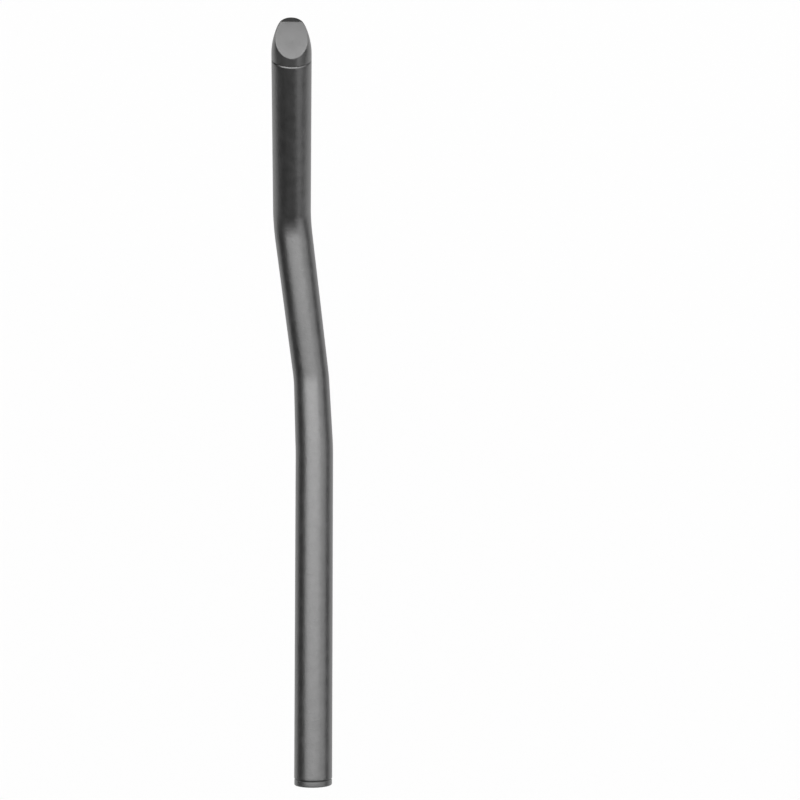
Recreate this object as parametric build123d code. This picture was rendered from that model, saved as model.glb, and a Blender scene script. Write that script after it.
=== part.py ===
from build123d import *
from math import asin, degrees, radians, tan
from typing import NamedTuple
import os

# Aero handlebar extension in millimetres: a bent tube and the plugs in its two ends.
# +Y points forward along the clamp section, +Z is up and -X is outboard.
# The origin is on the clamp axis, half way along the clamp section.

# Tube section
tube_d = 22.2
neck_d = 21.1
wall = 1.6

# Tube path: the runs between the corners of the centre line, with yaw outboard and pitch upward in degrees
clamp_len = 192.6
taper_len = 42.0
taper_yaw = 2.6
middle_len = 93.0
middle_yaw = 6.9
middle_pitch = 9.0
grip_len = 103.25
grip_yaw = -2.8
grip_pitch = 40.0

# Centre line radii at the corners
taper_bend_r = 200.0
lower_bend_r = 46.0
upper_bend_r = 34.0

# Tube ends
front_chamfer = 1.05
rear_chamfer = 0.5

# Nose plug: a short land, a curved nose, a thumb flat and a front facet, with their angles from the plug's axis,
# and the plug's turn in the bore, clockwise from behind
nose_land = 2.4
nose_len = 24.0
nose_curve_r = 39.0
thumb_flat_start = 4.75
thumb_flat_angle = 42.0
front_facet_start = 20.0
front_facet_angle = 72.0
nose_core = 3.0
nose_edge = 0.3
nose_turn = 6.0

# Rear plug
rear_flange_d = 22.0
rear_flange_len = 3.6
rear_flange_chamfer = 0.5

# Spigot of both plugs, with crush ribs along it
spigot_len = 17.0
spigot_wall = 1.8
spigot_clearance = 0.25
rib_clearance = 0.05
rib_count = 6
rib_width = 2.2
rib_len = 14.0

tube_r = tube_d / 2
neck_r = neck_d / 2
bore_r = tube_r - wall
spigot_r = bore_r - spigot_clearance
rib_r = bore_r - rib_clearance
core_r = spigot_r - spigot_wall

FROM_BASE = (Align.CENTER, Align.CENTER, Align.MIN)
NOSE_SPANS = 5


class Run(NamedTuple):
    """One straight run of the tube, from corner to corner, and its outer radius at each end."""

    length: float
    yaw: float
    pitch: float
    r_start: float
    r_end: float

    def heading(self) -> Vector:
        """Unit vector along the run."""
        return Vector(0, 1, 0).rotate(Axis.X, self.pitch).rotate(Axis.Z, self.yaw)


RUNS = (
    Run(clamp_len, 0, 0, tube_r, tube_r),
    Run(taper_len, taper_yaw, 0, tube_r, neck_r),
    Run(middle_len, middle_yaw, middle_pitch, neck_r, tube_r),
    Run(grip_len, grip_yaw, grip_pitch, tube_r, tube_r),
)
BEND_RADII = (taper_bend_r, lower_bend_r, upper_bend_r)
REAR_END = Vector(0, -clamp_len / 2, 0)
FRONT_END = sum((run.heading() * run.length for run in RUNS), REAR_END)


def bent_body(inset: float, overrun: float) -> Part:
    """Solid along the tube's path, every radius smaller by inset and each end longer by overrun."""
    pieces = []
    start = REAR_END - RUNS[0].heading() * overrun
    corner = REAR_END
    for i, run in enumerate(RUNS):
        along = run.heading()
        corner += along * run.length
        last = i == len(RUNS) - 1
        turn = 0 if last else along.get_angle(RUNS[i + 1].heading())
        trim = -overrun if last else BEND_RADII[i] * tan(radians(turn / 2))
        end = corner - along * trim
        length = (end - start).length
        r_start = run.r_start - inset
        r_end = run.r_end - inset
        place = Plane(start, z_dir=along)
        if r_start == r_end:
            straight = Cylinder(r_start, length, align=FROM_BASE)
        else:
            straight = Cone(r_start, r_end, length, align=FROM_BASE)
        pieces.append(place * straight)
        if last:
            break
        pivot = along.cross(RUNS[i + 1].heading()).normalized()
        centre = end + pivot.cross(along) * BEND_RADII[i]
        section = Plane(end, z_dir=along) * Circle(r_end)
        pieces.append(revolve(section, Axis(centre, pivot), turn))
        start = corner + RUNS[i + 1].heading() * trim
    return Part() + pieces


def extension_tube() -> Part:
    """Hollow tube of even wall, with both ends chamfered on the outside."""
    outer = bent_body(0, 0)
    rear_edge = outer.faces().sort_by(Axis(REAR_END, RUNS[0].heading()))[0].edges()
    outer = chamfer(rear_edge, rear_chamfer)
    front_edge = outer.faces().sort_by(Axis(FRONT_END, RUNS[-1].heading()))[-1].edges()
    outer = chamfer(front_edge, front_chamfer)
    return outer - bent_body(wall, 1)


def spigot() -> Part:
    """Hollow spigot of a plug, down from its seat at zero, with crush ribs part of the way along."""
    spokes = PolarLocations(rib_r / 2, rib_count) * Rectangle(rib_r, rib_width)
    ribbed = Circle(rib_r) & (Circle(spigot_r) + spokes)
    core = Circle(core_r)
    return extrude(ribbed - core, -rib_len) + extrude(Circle(spigot_r) - core, -spigot_len)


def nose_plug() -> Part:
    """Front plug along +Z with its seat at zero and +Y towards the thumb flat."""
    sweep = degrees(asin((nose_len - nose_land) / nose_curve_r))
    curve = CenterArc((tube_r - nose_curve_r, nose_land), nose_curve_r, 0, sweep)
    stations = [curve @ (i / NOSE_SPANS) for i in range(NOSE_SPANS + 1)]
    plug = Cylinder(tube_r, nose_land, align=FROM_BASE)
    plug += loft([Plane.XY.offset(station.Y) * Circle(station.X) for station in stations])
    fall = tan(radians(thumb_flat_angle)) * (front_facet_start - thumb_flat_start)
    flat = Plane((0, tube_r, thumb_flat_start), x_dir=(1, 0, 0), z_dir=facing(thumb_flat_angle))
    facet = Plane((0, tube_r - fall, front_facet_start), x_dir=(1, 0, 0), z_dir=facing(front_facet_angle))
    plug = split(plug, bisect_by=flat, keep=Keep.BOTTOM)
    plug = split(plug, bisect_by=facet, keep=Keep.BOTTOM)
    cut_edges = plug.faces().filter_by(lambda face: is_cut(face, flat) or is_cut(face, facet)).edges()
    return chamfer(cut_edges, nose_edge) - Cylinder(core_r, nose_core, align=FROM_BASE) + spigot()


def facing(angle: float) -> Vector:
    """Outward normal of a plane cut on the nose that slopes down by angle from the plug's axis."""
    return Vector(0, 1, 0).rotate(Axis.X, angle)


def is_cut(face: Face, plane: Plane) -> bool:
    """Whether a face lies on a cutting plane."""
    return face.geom_type == GeomType.PLANE and abs(plane.to_local_coords(face.center()).Z) < 1e-6


def rear_plug() -> Part:
    """Rear plug along +Z with its seat at zero."""
    flange = Cylinder(rear_flange_d / 2, rear_flange_len, align=FROM_BASE)
    return chamfer(flange.edges().filter_by(GeomType.CIRCLE), rear_flange_chamfer) + spigot()


grip_seat = Plane(FRONT_END, x_dir=Vector(-1, 0, 0).rotate(Axis.Z, grip_yaw), z_dir=RUNS[-1].heading())
clamp_seat = Plane(REAR_END, x_dir=(-1, 0, 0), z_dir=-RUNS[0].heading())

nodes = {
    "extension_tube": extension_tube(),
    "nose_plug": grip_seat * (Rot(Z=nose_turn) * nose_plug()),
    "rear_plug": clamp_seat * rear_plug(),
}
os.makedirs("parts", exist_ok=True)
for name, node in nodes.items():
    node.label = name
    export_step(node, f"parts/{name}.step")
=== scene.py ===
"""Looks of an aero handlebar extension: a bent tube with a plug in each end, above a plain white table."""

import logging
from contextlib import contextmanager
from dataclasses import dataclass
from enum import Enum
from math import asin, atan2, ceil, cos, pi, radians, sin, tan
from typing import Callable, Iterator

import bpy
from mathutils import Matrix, Vector


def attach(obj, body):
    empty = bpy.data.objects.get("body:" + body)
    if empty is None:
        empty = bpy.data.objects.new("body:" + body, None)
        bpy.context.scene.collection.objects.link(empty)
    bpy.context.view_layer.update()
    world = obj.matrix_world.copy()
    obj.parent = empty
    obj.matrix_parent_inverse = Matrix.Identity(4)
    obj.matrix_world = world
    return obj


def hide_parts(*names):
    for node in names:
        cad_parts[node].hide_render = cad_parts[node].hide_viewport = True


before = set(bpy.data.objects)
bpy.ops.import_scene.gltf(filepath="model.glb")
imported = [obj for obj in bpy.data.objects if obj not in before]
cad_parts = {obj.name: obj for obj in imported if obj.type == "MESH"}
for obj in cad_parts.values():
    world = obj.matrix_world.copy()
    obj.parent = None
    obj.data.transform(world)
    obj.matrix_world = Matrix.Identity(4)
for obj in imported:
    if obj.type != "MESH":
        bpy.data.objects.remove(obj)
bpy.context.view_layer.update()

log = logging.getLogger("extension")

MM = 0.001
BODY = "root"
RING_SEGMENTS = 128
BEND_STEP = radians(1.0)
SMOOTH_ANGLE = radians(12)
SKIN_MERGE = 0.002 * MM
SLICE_MERGE = 0.04 * MM
SLICE_SLACK = 0.02 * MM
X_AXIS = Vector((1, 0, 0))
Y_AXIS = Vector((0, 1, 0))
Z_AXIS = Vector((0, 0, 1))


class Slot(Enum):
    """Material slots of the record."""

    TUBE = "black_tube"
    PLUG = "black_plug"


@contextmanager
def editing(obj: bpy.types.Object) -> Iterator[None]:
    """Edit mode on one object.

    Args:
        obj: the mesh object to edit.
    """
    bpy.ops.object.select_all(action="DESELECT")
    obj.select_set(True)
    bpy.context.view_layer.objects.active = obj
    bpy.ops.object.mode_set(mode="EDIT")
    yield
    bpy.ops.object.mode_set(mode="OBJECT")


def select_faces(obj: bpy.types.Object, test: Callable[[Vector, Vector], bool]) -> None:
    """Selects the faces of an object in edit mode that pass a test.

    Args:
        obj: the object in edit mode.
        test: takes a face's centre and normal.
    """
    bpy.ops.mesh.select_mode(type="FACE")
    bpy.ops.mesh.select_all(action="DESELECT")
    bpy.ops.object.mode_set(mode="OBJECT")
    for face in obj.data.polygons:
        face.select = test(face.center, face.normal)
    bpy.ops.object.mode_set(mode="EDIT")


@dataclass
class RingPen:
    """Draws a skin with a selected ring of edges that is pushed, widened and swung in edit mode."""

    centre: Vector
    heading: Vector
    radius: float

    @classmethod
    def start(cls, name: str, centre: Vector, heading: Vector, radius: float) -> tuple["RingPen", bpy.types.Object]:
        """Adds the first ring as a new object.

        Args:
            name: the object's name.
            centre: the ring's centre.
            heading: the direction that the skin grows in.
            radius: the ring's radius.

        Returns:
            The pen and the object.
        """
        bpy.ops.object.select_all(action="DESELECT")
        turn = Z_AXIS.rotation_difference(heading).to_euler()
        bpy.ops.mesh.primitive_circle_add(vertices=RING_SEGMENTS, radius=radius, location=centre, rotation=turn)
        bpy.ops.object.transform_apply(location=True, rotation=True, scale=True)
        obj = bpy.context.object
        obj.name = obj.data.name = name
        return cls(centre.copy(), heading.copy(), radius), obj

    def push(self, distance: float, radius: float | None = None) -> None:
        """Extrudes the ring along its heading, and widens it if a radius is given.

        Args:
            distance: how far the new ring is from the last one.
            radius: the new ring's radius.
        """
        step = self.heading * distance
        bpy.ops.mesh.extrude_edges_move(TRANSFORM_OT_translate={"value": step})
        self.centre += step
        if radius is not None:
            ratio = radius / self.radius
            bpy.ops.transform.resize(value=(ratio, ratio, ratio), center_override=self.centre)
            self.radius = radius

    def run(self, length: float, radius: float, guard: float = 1.5 * MM) -> None:
        """Pushes a straight run with a guard ring near each end, which keeps a bend's shading out of it.

        Args:
            length: the run's length.
            radius: the radius at its end.
            guard: how far the guard rings are from the ends.
        """
        slope = (radius - self.radius) / length
        for step in (guard, length - 2 * guard, guard):
            self.push(step, self.radius + slope * step)

    def swing(self, pivot: Vector, axis: Vector, turn: float) -> None:
        """Spins the ring round a bend.

        Args:
            pivot: a point on the bend's axis.
            axis: the bend's axis.
            turn: the angle, right-handed about the axis.
        """
        bpy.ops.mesh.spin(steps=ceil(turn / BEND_STEP), angle=-turn, center=pivot, axis=axis)
        spin = Matrix.Rotation(turn, 3, axis)
        self.centre = pivot + spin @ (self.centre - pivot)
        self.heading = spin @ self.heading

    def turn_back(self) -> None:
        """Reverses the heading, to draw an inner wall."""
        self.heading = -self.heading


def close_skin(obj: bpy.types.Object, edge: float = 0.0) -> None:
    """Merges a finished skin, breaks its sharp edges, points its faces outwards and smooths its shading.

    Args:
        obj: the object in object mode.
        edge: width of the broken edges, or 0 for none.
    """
    with editing(obj):
        bpy.ops.mesh.select_mode(type="EDGE")
        bpy.ops.mesh.select_all(action="SELECT")
        bpy.ops.mesh.remove_doubles(threshold=SKIN_MERGE)
        bpy.ops.mesh.normals_make_consistent(inside=False)
        if edge:
            bpy.ops.mesh.select_all(action="DESELECT")
            bpy.ops.mesh.edges_select_sharp(sharpness=radians(30))
            bpy.ops.mesh.bevel(offset=edge, segments=3, profile=0.5, affect="EDGES")
    bpy.ops.object.shade_smooth_by_angle(angle=SMOOTH_ANGLE)


class FineGrain:
    """Shader group of a blasted or moulded surface: fine specks, and clouds that are a few specks across."""

    NAME = "fine_grain"

    def __init__(self) -> None:
        """Builds the group once."""
        self.tree = bpy.data.node_groups.new(self.NAME, "ShaderNodeTree")
        self._sockets()
        self._nodes()

    def _sockets(self) -> None:
        """Adds the group's inputs and outputs."""
        face = self.tree.interface
        face.new_socket("Vector", in_out="INPUT", socket_type="NodeSocketVector")
        for name in ("Grain Scale", "Cloud Scale"):
            face.new_socket(name, in_out="INPUT", socket_type="NodeSocketFloat")
        for name in ("Height", "Cloud"):
            face.new_socket(name, in_out="OUTPUT", socket_type="NodeSocketFloat")

    def _nodes(self) -> None:
        """Adds the noise of the clouds, and of the specks, which are the peaks of a finer noise."""
        nodes, links = self.tree.nodes, self.tree.links
        inputs = nodes.new("NodeGroupInput")
        outputs = nodes.new("NodeGroupOutput")
        for scale, detail, low, high, result in (
            ("Grain Scale", 3.0, 0.5, 0.75, "Height"),
            ("Cloud Scale", 4.0, 0.0, 1.0, "Cloud"),
        ):
            noise = nodes.new("ShaderNodeTexNoise")
            noise.inputs["Detail"].default_value = detail
            noise.inputs["Roughness"].default_value = 0.6
            peaks = nodes.new("ShaderNodeMapRange")
            peaks.inputs["From Min"].default_value = low
            peaks.inputs["From Max"].default_value = high
            links.new(inputs.outputs["Vector"], noise.inputs["Vector"])
            links.new(inputs.outputs[scale], noise.inputs["Scale"])
            links.new(noise.outputs["Fac"], peaks.inputs["Value"])
            links.new(peaks.outputs["Result"], outputs.inputs[result])


@dataclass(frozen=True)
class Finish:
    """One surface finish: its colour, gloss and grain."""

    name: str
    tone: float
    tone_swing: float
    roughness: float
    gloss_swing: float
    metallic: float
    specular: float
    ior: float
    grain_size: float
    grain_depth: float
    cloud_size: float

    def material(self, grain: FineGrain) -> bpy.types.Material:
        """Builds the material.

        Args:
            grain: the shared grain group.

        Returns:
            The material, with its pattern on Object coordinates.
        """
        made = bpy.data.materials.new(self.name)
        made.use_nodes = True
        nodes, links = made.node_tree.nodes, made.node_tree.links
        surface = nodes["Principled BSDF"]
        surface.inputs["Metallic"].default_value = self.metallic
        surface.inputs["Specular IOR Level"].default_value = self.specular
        surface.inputs["IOR"].default_value = self.ior
        place = nodes.new("ShaderNodeTexCoord")
        pattern = nodes.new("ShaderNodeGroup")
        pattern.node_tree = grain.tree
        pattern.inputs["Grain Scale"].default_value = 1 / self.grain_size
        pattern.inputs["Cloud Scale"].default_value = 1 / self.cloud_size
        links.new(place.outputs["Object"], pattern.inputs["Vector"])
        self._vary(made, pattern.outputs["Cloud"], surface)
        bump = nodes.new("ShaderNodeBump")
        bump.inputs["Distance"].default_value = self.grain_depth
        links.new(pattern.outputs["Height"], bump.inputs["Height"])
        links.new(bump.outputs["Normal"], surface.inputs["Normal"])
        return made

    def _vary(self, made: bpy.types.Material, cloud: bpy.types.NodeSocket, surface: bpy.types.Node) -> None:
        """Varies the colour and the roughness with the clouds.

        Args:
            made: the material.
            cloud: the clouds' output.
            surface: the Principled node.
        """
        nodes, links = made.node_tree.nodes, made.node_tree.links
        for middle, swing, socket in (
            (self.tone, self.tone_swing, "Base Color"),
            (self.roughness, self.gloss_swing, "Roughness"),
        ):
            spread = nodes.new("ShaderNodeMapRange")
            spread.inputs["From Min"].default_value = 0.3
            spread.inputs["From Max"].default_value = 0.7
            spread.inputs["To Min"].default_value = middle - swing
            spread.inputs["To Max"].default_value = middle + swing
            links.new(cloud, spread.inputs["Value"])
            links.new(spread.outputs["Result"], surface.inputs[socket])


ANODISED = Finish(
    name="black_anodised",
    tone=0.18,
    tone_swing=0.016,
    roughness=0.395,
    gloss_swing=0.04,
    metallic=1.0,
    specular=0.5,
    ior=1.5,
    grain_size=1.6 * MM,
    grain_depth=0.05 * MM,
    cloud_size=6 * MM,
)
MOULDED = Finish(
    name="black_moulded",
    tone=0.045,
    tone_swing=0.005,
    roughness=0.34,
    gloss_swing=0.025,
    metallic=0.0,
    specular=1.0,
    ior=1.6,
    grain_size=0.5 * MM,
    grain_depth=0.006 * MM,
    cloud_size=4 * MM,
)


@dataclass(frozen=True)
class Run:
    """One straight run of the tube, from corner to corner, and its outer radius at each end."""

    length: float
    yaw: float
    pitch: float
    r_start: float
    r_end: float

    def heading(self) -> Vector:
        """Unit vector along the run."""
        turn = Matrix.Rotation(radians(self.yaw), 3, "Z") @ Matrix.Rotation(radians(self.pitch), 3, "X")
        return turn @ Y_AXIS


@dataclass(frozen=True)
class Leg:
    """What the pen draws of a run: its length between bends, its end radii and the bend that follows."""

    length: float
    r_start: float
    r_end: float
    pivot: Vector | None
    axis: Vector | None
    turn: float


@dataclass
class ExtensionTube:
    """The bent tube: clamp section, short taper, rising middle and grip section, with an even wall."""

    finish: Finish
    name: str = "tube_shell"
    node: str = "extension_tube"
    slot: Slot = Slot.TUBE
    radius: float = 11.1 * MM
    neck_radius: float = 10.55 * MM
    wall: float = 1.6 * MM
    clamp_length: float = 192.6 * MM
    taper_length: float = 42 * MM
    taper_yaw: float = 2.6
    middle_length: float = 93 * MM
    middle_yaw: float = 6.9
    middle_pitch: float = 9.0
    grip_length: float = 103.25 * MM
    grip_yaw: float = -2.8
    grip_pitch: float = 40.0
    bend_radii: tuple[float, float, float] = (200 * MM, 46 * MM, 34 * MM)
    front_chamfer: float = 1.05 * MM
    front_chamfer_depth: float = 0.8 * MM
    rear_chamfer: float = 0.5 * MM
    edge: float = 0.08 * MM

    @property
    def runs(self) -> tuple[Run, ...]:
        """The tube's straight runs, rear to front."""
        return (
            Run(self.clamp_length, 0, 0, self.radius, self.radius),
            Run(self.taper_length, self.taper_yaw, 0, self.radius, self.neck_radius),
            Run(self.middle_length, self.middle_yaw, self.middle_pitch, self.neck_radius, self.radius),
            Run(self.grip_length, self.grip_yaw, self.grip_pitch, self.radius, self.radius),
        )

    @property
    def rear_end(self) -> Vector:
        """Centre of the rear end."""
        return Vector((0, -self.clamp_length / 2, 0))

    @property
    def front_end(self) -> Vector:
        """Centre of the front end."""
        return sum((run.heading() * run.length for run in self.runs), self.rear_end)

    def legs(self) -> list[Leg]:
        """Splits the path into straight legs and the bends between them.

        Returns:
            The legs, rear to front.
        """
        legs = []
        corner = self.rear_end
        used = 0.0
        for run, after, radius in zip(self.runs, self.runs[1:] + (None,), self.bend_radii + (0,)):
            along = run.heading()
            corner = corner + along * run.length
            if after is None:
                legs.append(Leg(run.length - used, run.r_start, run.r_end, None, None, 0))
                break
            turn = along.angle(after.heading())
            trim = radius * tan(turn / 2)
            axis = along.cross(after.heading()).normalized()
            pivot = corner - along * trim + axis.cross(along) * radius
            legs.append(Leg(run.length - used - trim, run.r_start, run.r_end, pivot, axis, turn))
            used = trim
        return legs

    def build(self) -> bpy.types.Object:
        """Draws the outer skin forwards and the bore backwards, and joins them at the rear end.

        Returns:
            The tube.
        """
        legs = self.legs()
        first_radius = self.radius - self.rear_chamfer
        pen, obj = RingPen.start(self.name, self.rear_end, self.runs[0].heading(), first_radius)
        with editing(obj):
            bpy.ops.mesh.select_all(action="SELECT")
            pen.push(self.rear_chamfer, self.radius)
            for leg in legs:
                cut = self.rear_chamfer * (leg is legs[0]) + self.front_chamfer * (leg is legs[-1])
                pen.run(leg.length - cut, leg.r_end)
                if leg.turn:
                    pen.swing(leg.pivot, leg.axis, leg.turn)
            pen.push(self.front_chamfer, self.radius - self.front_chamfer_depth)
            pen.push(0, self.radius - self.wall)
            pen.turn_back()
            for leg in reversed(legs):
                if leg.turn:
                    pen.swing(leg.pivot, -leg.axis, leg.turn)
                pen.run(leg.length, leg.r_start - self.wall)
            bpy.ops.mesh.select_mode(type="EDGE")
            bpy.ops.mesh.select_all(action="DESELECT")
            bpy.ops.mesh.select_non_manifold()
            bpy.ops.mesh.bridge_edge_loops()
        close_skin(obj, self.edge)
        return obj


@dataclass
class Plug:
    """What the two plugs share: a hollow spigot with crush ribs, down from a seat at zero on the plug's own Z."""

    finish: Finish
    seat: Matrix
    slot: Slot = Slot.PLUG
    spigot_radius: float = 9.25 * MM
    spigot_length: float = 17 * MM
    core_radius: float = 7.45 * MM
    rib_radius: float = 9.45 * MM
    rib_count: int = 6
    rib_width: float = 2.2 * MM
    rib_length: float = 14 * MM
    turn: float = 0.0

    def add_spigot(self, obj: bpy.types.Object, seat_radius: float, core_depth: float) -> None:
        """Draws the spigot from the open ring at the seat, and raises its ribs.

        Args:
            obj: the plug in edit mode.
            seat_radius: radius of the open ring.
            core_depth: how far the hollow goes above the seat.
        """
        bpy.ops.mesh.select_mode(type="EDGE")
        bpy.ops.mesh.select_all(action="DESELECT")
        bpy.ops.mesh.select_non_manifold()
        pen = RingPen(Vector(), -Z_AXIS, seat_radius)
        pen.push(0, self.spigot_radius)
        pen.push(self.rib_length)
        pen.push(self.spigot_length - self.rib_length)
        pen.push(0, self.core_radius)
        pen.turn_back()
        pen.push(self.spigot_length + core_depth)
        bpy.ops.mesh.edge_face_add()
        self._raise_ribs(obj)

    def _raise_ribs(self, obj: bpy.types.Object) -> None:
        """Extrudes the faces of the spigot that carry its ribs.

        Args:
            obj: the plug in edit mode.
        """
        pitch = 2 * pi / self.rib_count
        half = self.rib_width / 2 / self.spigot_radius

        def on_rib(centre: Vector, normal: Vector) -> bool:
            """Whether a face is on the ribbed length of the spigot and within a rib's width."""
            reach = Vector((centre.x, centre.y)).length
            off = (atan2(centre.y, centre.x) + pitch / 2) % pitch - pitch / 2
            ribbed = -self.rib_length < centre.z < 0
            return ribbed and reach > (self.spigot_radius + self.core_radius) / 2 and abs(off) < half

        select_faces(obj, on_rib)
        bpy.ops.mesh.extrude_region()
        ratio = self.rib_radius / self.spigot_radius
        bpy.ops.transform.resize(value=(ratio, ratio, 1), center_override=(0, 0, 0))

    def settle(self, obj: bpy.types.Object) -> None:
        """Moves a plug that was drawn at the origin to its seat, with its place in its mesh.

        Args:
            obj: the plug in object mode.
        """
        obj.matrix_world = self.seat @ Matrix.Rotation(self.turn, 4, "Z")
        bpy.ops.object.transform_apply(location=True, rotation=True, scale=True)


@dataclass(frozen=True)
class Flat:
    """A flat on the nose, with a rounded rim and a slight crown.

    Both are given by the slopes of their rings in degrees, from the outside in.
    """

    point: Vector
    angle: float
    rim: tuple[float, ...] = ()
    crown: tuple[float, ...] = ()
    rim_step: float = 0.12 * MM
    crown_reach: float = 9.5 * MM
    crown_share: float = 0.22

    @property
    def normal(self) -> Vector:
        """The flat's outward normal, in the plug's own frame."""
        return Vector((0, cos(self.angle), sin(self.angle)))

    @property
    def crown_rises(self) -> list[float]:
        """How far each ring of the crown rises."""
        return [self.crown_share * self.crown_reach * tan(radians(slope)) for slope in self.crown]

    @property
    def drop(self) -> float:
        """How far the rim and the crown rise together."""
        return sum(self.rim_step * sin(radians(slope)) for slope in self.rim) + sum(self.crown_rises)

    def slice(self) -> None:
        """Slices the nose, in edit mode, below the flat by as much as the rim and the crown rise."""
        place = self.point - self.normal * self.drop
        bpy.ops.mesh.select_all(action="SELECT")
        bpy.ops.mesh.bisect(plane_co=place, plane_no=self.normal, use_fill=True, clear_outer=True)
        bpy.ops.mesh.remove_doubles(threshold=SLICE_MERGE)

    def shape(self, obj: bpy.types.Object) -> None:
        """Rounds the rim of the sliced face and crowns it.

        Args:
            obj: the plug in edit mode.
        """

        def sliced(centre: Vector, facing: Vector) -> bool:
            """Whether a face is the one that the slice filled."""
            off = (centre - self.point).dot(self.normal) + self.drop
            return abs(off) < SLICE_SLACK and abs(facing.dot(self.normal)) > 0.99

        select_faces(obj, sliced)
        bpy.ops.mesh.face_make_planar(factor=1, repeat=4)
        bpy.ops.mesh.normals_make_consistent(inside=False)
        for slope in map(radians, self.rim):
            inward, rise = self.rim_step * cos(slope), self.rim_step * sin(slope)
            bpy.ops.mesh.inset(use_even_offset=False, thickness=inward, depth=rise)
        bpy.ops.object.mode_set(mode="OBJECT")
        middle = next(face.center.copy() for face in obj.data.polygons if face.select)
        bpy.ops.object.mode_set(mode="EDIT")
        for number, rise in enumerate(self.crown_rises):
            ratio = 1 - self.crown_share / (1 - self.crown_share * number)
            bpy.ops.mesh.extrude_region()
            bpy.ops.transform.resize(value=(ratio, ratio, ratio), center_override=middle)
            bpy.ops.transform.translate(value=self.normal * rise)


@dataclass
class NosePlug(Plug):
    """The plug in the grip end: a curved nose with a thumb flat and a front facet."""

    name: str = "nose_cap"
    node: str = "nose_plug"
    radius: float = 11.1 * MM
    land: float = 2.4 * MM
    length: float = 24 * MM
    curve_radius: float = 39 * MM
    curve_steps: int = 24
    core_depth: float = 3 * MM
    flat_start: float = 4.75 * MM
    flat_angle: float = radians(42)
    facet_start: float = 20 * MM
    facet_angle: float = radians(72)
    turn: float = radians(6)
    flat_rim: tuple[float, ...] = (28, 20, 12, 4, 2)
    flat_crown: tuple[float, ...] = (1.6, 1.2, 0.8, 0.4)

    def flats(self) -> tuple[Flat, Flat]:
        """The thumb flat and the front facet."""
        fall = tan(self.flat_angle) * (self.facet_start - self.flat_start)
        return (
            Flat(Vector((0, self.radius, self.flat_start)), self.flat_angle, self.flat_rim, self.flat_crown),
            Flat(Vector((0, self.radius - fall, self.facet_start)), self.facet_angle),
        )

    def build(self) -> bpy.types.Object:
        """Draws the nose ring by ring, cuts and shapes its flats and adds the spigot.

        Returns:
            The plug.
        """
        pen, obj = RingPen.start(self.name, Vector(), Z_AXIS, self.radius)
        with editing(obj):
            bpy.ops.mesh.select_all(action="SELECT")
            pen.push(self.land)
            sweep = asin((self.length - self.land) / self.curve_radius)
            for step in range(1, self.curve_steps + 1):
                angle = sweep * step / self.curve_steps
                rise = self.land + self.curve_radius * sin(angle) - pen.centre.z
                pen.push(rise, self.radius - self.curve_radius * (1 - cos(angle)))
            bpy.ops.mesh.edge_face_add()
            flats = self.flats()
            for flat in flats:
                flat.slice()
            for flat in flats:
                flat.shape(obj)
            self.add_spigot(obj, self.radius, self.core_depth)
        close_skin(obj)
        self.settle(obj)
        return obj


@dataclass
class RearPlug(Plug):
    """The plug in the clamp end: a thin flange with broken edges."""

    name: str = "rear_cap"
    node: str = "rear_plug"
    radius: float = 11 * MM
    length: float = 3.6 * MM
    chamfer: float = 0.5 * MM
    edge: float = 0.1 * MM

    def build(self) -> bpy.types.Object:
        """Draws the flange and adds the spigot.

        Returns:
            The plug.
        """
        inner = self.radius - self.chamfer
        pen, obj = RingPen.start(self.name, Vector(), Z_AXIS, inner)
        with editing(obj):
            bpy.ops.mesh.select_all(action="SELECT")
            pen.push(self.chamfer, self.radius)
            pen.push(self.length - 2 * self.chamfer)
            pen.push(self.chamfer, inner)
            bpy.ops.mesh.edge_face_add()
            self.add_spigot(obj, inner, 0)
        close_skin(obj, self.edge)
        self.settle(obj)
        return obj


@dataclass(frozen=True)
class Softbox:
    """A rectangular lamp of stacked panels that share one edge, so that its front fades away from that edge."""

    name: str
    place: tuple[float, float, float]
    facing: tuple[float, float, float]
    fade: tuple[float, float, float]
    width: float
    reaches: tuple[float, ...]
    radiance: float
    gap: float = 0.02

    def build(self) -> None:
        """Adds the panels, each with the power that gives its front the radiance."""
        back = -Vector(self.facing)
        fade = Vector(self.fade)
        turn = Matrix((fade.cross(back), fade, back)).transposed()
        for number, reach in enumerate(self.reaches, 1):
            lamp = bpy.data.lights.new(f"{self.name}_{number}", "AREA")
            lamp.shape = "RECTANGLE"
            lamp.size = self.width
            lamp.size_y = reach
            lamp.energy = self.radiance * pi * self.width * reach
            obj = bpy.data.objects.new(lamp.name, lamp)
            middle = Vector(self.place) + fade * reach / 2 + back * self.gap * number
            obj.matrix_world = Matrix.Translation(middle) @ turn.to_4x4()
            obj.visible_camera = False
            bpy.context.scene.collection.objects.link(obj)


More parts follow.
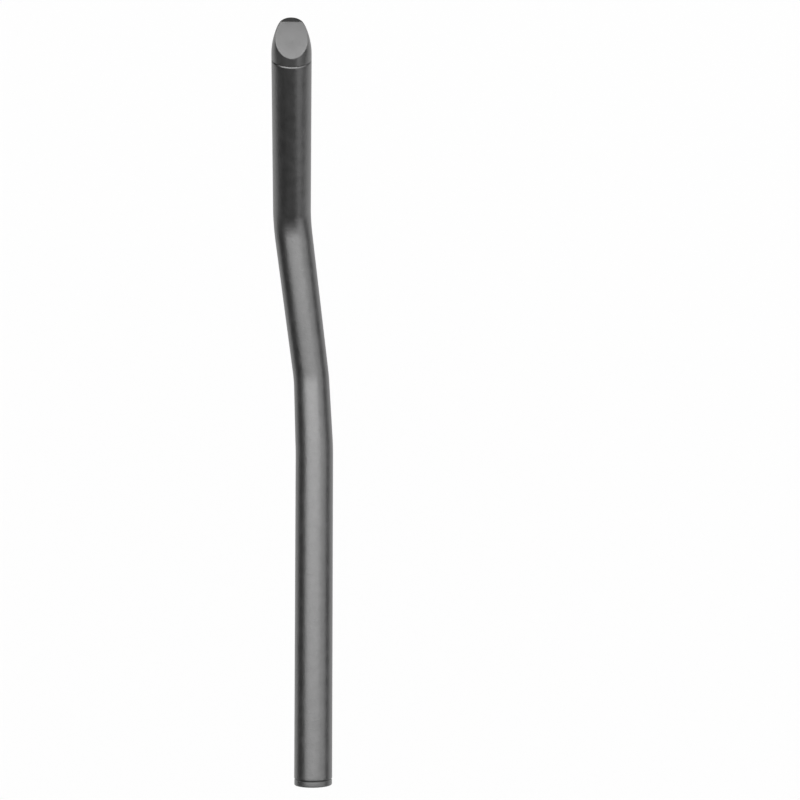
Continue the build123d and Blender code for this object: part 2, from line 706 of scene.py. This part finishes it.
@dataclass
class Studio:
    """Camera, soft light and a white table."""

    camera_place: tuple[float, float, float] = (50.74 * MM, 57.99 * MM, 940.70 * MM)
    camera_tilt: float = radians(4.096)
    lens: float = 71.43
    table_place: tuple[float, float, float] = (-0.04, 0.17, -0.4)
    table_size: tuple[float, float] = (2.5, 1.94)
    table_tone: float = 0.92
    table_white: float = 0.9
    ambient: float = 0.08
    softboxes: tuple[Softbox, ...] = (
        Softbox("overhead", (-0.8, 2.4, 5), (0, 0, -1), (0, -1, 0), 9.72, (0.5, 0.9, 1.4, 2.1, 3.7, 5.6), 0.85),
        Softbox("side", (4.95, 0.9, 0.97), (-1, 0, 0), (0, 0, 1), 17.0, (5.1,), 1.085),
        Softbox("side_rear", (4.95, -4, -0.4), (-1, 0, 0), (0, 0, 1), 5.0, (1.35,), 0.2),
        Softbox("rear", (0, -6, 0.8), (0, 1, 0), (0, 0, 1), 8.0, (5.0,), 0.09),
    )

    def build(self) -> None:
        """Adds everything that the picture needs round the object."""
        self._camera()
        self._table()
        self._world()
        for softbox in self.softboxes:
            softbox.build()
        bpy.context.scene.view_settings.view_transform = "Standard"

    def _camera(self) -> None:
        """Adds the camera, almost straight above."""
        lens = bpy.data.cameras.new("camera")
        lens.lens = self.lens
        lens.sensor_width = 36
        lens.clip_end = 100
        obj = bpy.data.objects.new("camera", lens)
        obj.location = self.camera_place
        obj.rotation_euler = (self.camera_tilt, 0, 0)
        bpy.context.scene.collection.objects.link(obj)
        bpy.context.scene.camera = obj

    def _table(self) -> None:
        """Adds the white table below, which keeps part of the object's shadow."""
        bpy.ops.object.select_all(action="DESELECT")
        bpy.ops.mesh.primitive_plane_add(size=1, location=self.table_place)
        table = bpy.context.object
        table.name = "table"
        table.scale = (*self.table_size, 1)
        table.data.materials.append(self._table_paint())

    def _table_paint(self) -> bpy.types.Material:
        """Mixes matt paint with a white glow that the camera sees, straight, mirrored or through something.

        Returns:
            The table's material.
        """
        paint = bpy.data.materials.new("table_paint")
        paint.use_nodes = True
        nodes, links = paint.node_tree.nodes, paint.node_tree.links
        nodes.clear()
        ray = nodes.new("ShaderNodeLightPath")
        seen = ray.outputs["Is Camera Ray"]
        for kind in ("Is Glossy Ray", "Is Transmission Ray"):
            either = nodes.new("ShaderNodeMath")
            either.operation = "MAXIMUM"
            links.new(seen, either.inputs[0])
            links.new(ray.outputs[kind], either.inputs[1])
            seen = either.outputs[0]
        share = nodes.new("ShaderNodeMath")
        share.operation = "MULTIPLY"
        share.inputs[1].default_value = self.table_white
        links.new(seen, share.inputs[0])
        matt = nodes.new("ShaderNodeBsdfDiffuse")
        matt.inputs["Color"].default_value = (self.table_tone, self.table_tone, self.table_tone, 1)
        glow = nodes.new("ShaderNodeEmission")
        mix = nodes.new("ShaderNodeMixShader")
        links.new(share.outputs[0], mix.inputs["Fac"])
        links.new(matt.outputs[0], mix.inputs[1])
        links.new(glow.outputs[0], mix.inputs[2])
        links.new(mix.outputs[0], nodes.new("ShaderNodeOutputMaterial").inputs["Surface"])
        return paint

    def _world(self) -> None:
        """Sets an even dim surround."""
        world = bpy.data.worlds.new("surround")
        world.use_nodes = True
        surround = world.node_tree.nodes["Background"]
        surround.inputs["Color"].default_value = (self.ambient, self.ambient, self.ambient, 1)
        bpy.context.scene.world = world


def seat_matrix(origin: Vector, across: Vector, along: Vector) -> Matrix:
    """Frame of a plug's seat.

    Args:
        origin: the seat's centre.
        across: the plug's own X.
        along: the plug's own Z.

    Returns:
        The matrix from the plug's own frame to the object's.
    """
    turn = Matrix((across, along.cross(across), along)).transposed()
    return Matrix.Translation(origin) @ turn.to_4x4()


def dress(piece: ExtensionTube | NosePlug | RearPlug, grain: FineGrain) -> None:
    """Builds a piece, gives it its finish and puts it in its node's place.

    Args:
        piece: the piece.
        grain: the shared grain group.
    """
    obj = piece.build()
    obj.data.materials.append(piece.finish.material(grain))
    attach(obj, BODY)
    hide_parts(piece.node)
    log.info("%s: %d faces, for %s", obj.name, len(obj.data.polygons), piece.node)


def main() -> None:
    """Builds the pieces in order, then the studio."""
    logging.basicConfig(level=logging.INFO, format="%(name)s: %(message)s")
    grain = FineGrain()
    tube = ExtensionTube(ANODISED)
    across = Matrix.Rotation(radians(tube.grip_yaw), 3, "Z") @ -X_AXIS
    grip_seat = seat_matrix(tube.front_end, across, tube.runs[-1].heading())
    clamp_seat = seat_matrix(tube.rear_end, -X_AXIS, -tube.runs[0].heading())
    for piece in (tube, NosePlug(MOULDED, grip_seat), RearPlug(MOULDED, clamp_seat)):
        dress(piece, grain)
    Studio().build()


if __name__ == "__main__":
    main()
